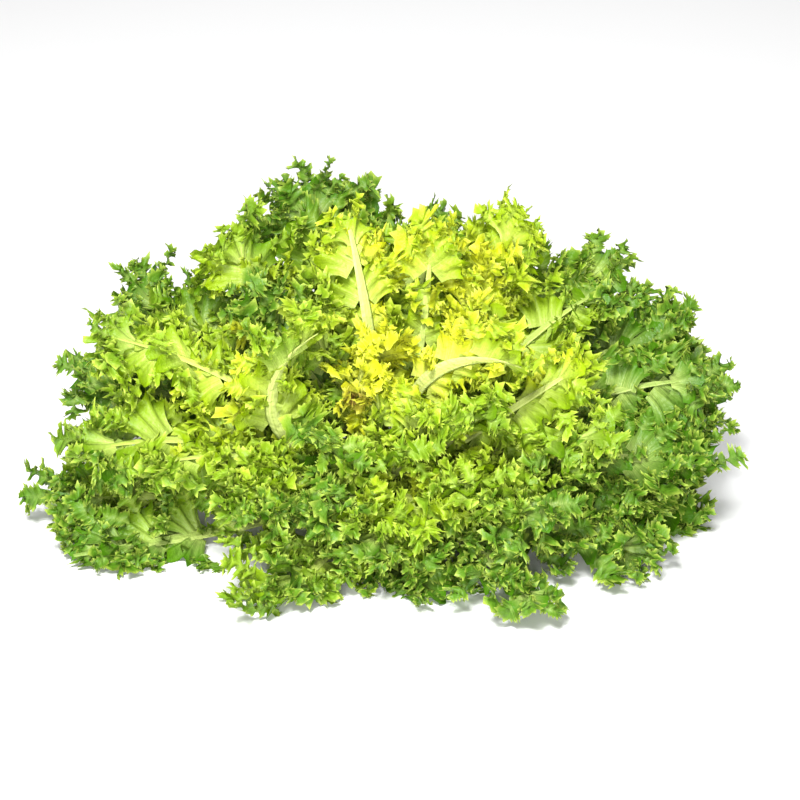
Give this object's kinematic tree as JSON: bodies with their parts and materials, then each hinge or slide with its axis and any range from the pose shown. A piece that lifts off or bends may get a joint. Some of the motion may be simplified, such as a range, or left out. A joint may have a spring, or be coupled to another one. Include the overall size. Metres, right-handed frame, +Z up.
{
  "type": "curly endive head",
  "caption": "Loose head of curly endive lying on its cut stump, with green frilled outer leaves opening round a pale yellow heart.",
  "frame": {"origin": "middle of the stump's cut face, which stands on the table", "axes": "+Z up from the table; +X along the head's widest spread; the heart leans towards -Y, the side that faces the viewer"},
  "size_m": [0.3403, 0.2807, 0.1546],
  "materials": {
    "green outer leaf": "satin",
    "light green middle leaf": "satin",
    "yellow heart leaf": "satin",
    "pale stump": "matte"
  },
  "bodies": {
    "root": {"stump": "pale stump", "outer_leaf_01": "green outer leaf", "outer_leaf_02": "green outer leaf", "outer_leaf_03": "green outer leaf", "outer_leaf_04": "green outer leaf", "outer_leaf_05": "green outer leaf", "outer_leaf_06": "green outer leaf", "outer_leaf_07": "green outer leaf", "outer_leaf_08": "green outer leaf", "outer_leaf_09": "green outer leaf", "outer_leaf_10": "green outer leaf", "outer_leaf_11": "green outer leaf", "outer_leaf_12": "green outer leaf", "outer_leaf_13": "green outer leaf", "outer_leaf_14": "green outer leaf", "outer_leaf_15": "green outer leaf", "outer_leaf_16": "green outer leaf", "outer_leaf_17": "green outer leaf", "outer_leaf_18": "green outer leaf", "middle_leaf_19": "light green middle leaf", "middle_leaf_20": "light green middle leaf", "middle_leaf_21": "light green middle leaf", "middle_leaf_22": "light green middle leaf", "middle_leaf_23": "light green middle leaf", "middle_leaf_24": "light green middle leaf", "middle_leaf_25": "light green middle leaf", "middle_leaf_26": "light green middle leaf", "middle_leaf_27": "light green middle leaf", "middle_leaf_28": "light green middle leaf", "middle_leaf_29": "light green middle leaf", "middle_leaf_30": "light green middle leaf", "middle_leaf_31": "light green middle leaf", "middle_leaf_32": "light green middle leaf", "middle_leaf_33": "light green middle leaf", "middle_leaf_34": "light green middle leaf", "heart_leaf_35": "yellow heart leaf", "heart_leaf_36": "yellow heart leaf", "heart_leaf_37": "yellow heart leaf", "heart_leaf_38": "yellow heart leaf", "heart_leaf_39": "yellow heart leaf", "heart_leaf_40": "yellow heart leaf", "heart_leaf_41": "yellow heart leaf", "heart_leaf_42": "yellow heart leaf", "heart_leaf_43": "yellow heart leaf", "heart_leaf_44": "yellow heart leaf", "heart_leaf_45": "yellow heart leaf", "heart_leaf_46": "yellow heart leaf", "heart_leaf_47": "yellow heart leaf", "heart_leaf_48": "yellow heart leaf", "heart_leaf_49": "yellow heart leaf", "heart_leaf_50": "yellow heart leaf"}
  },
  "joints": []
}
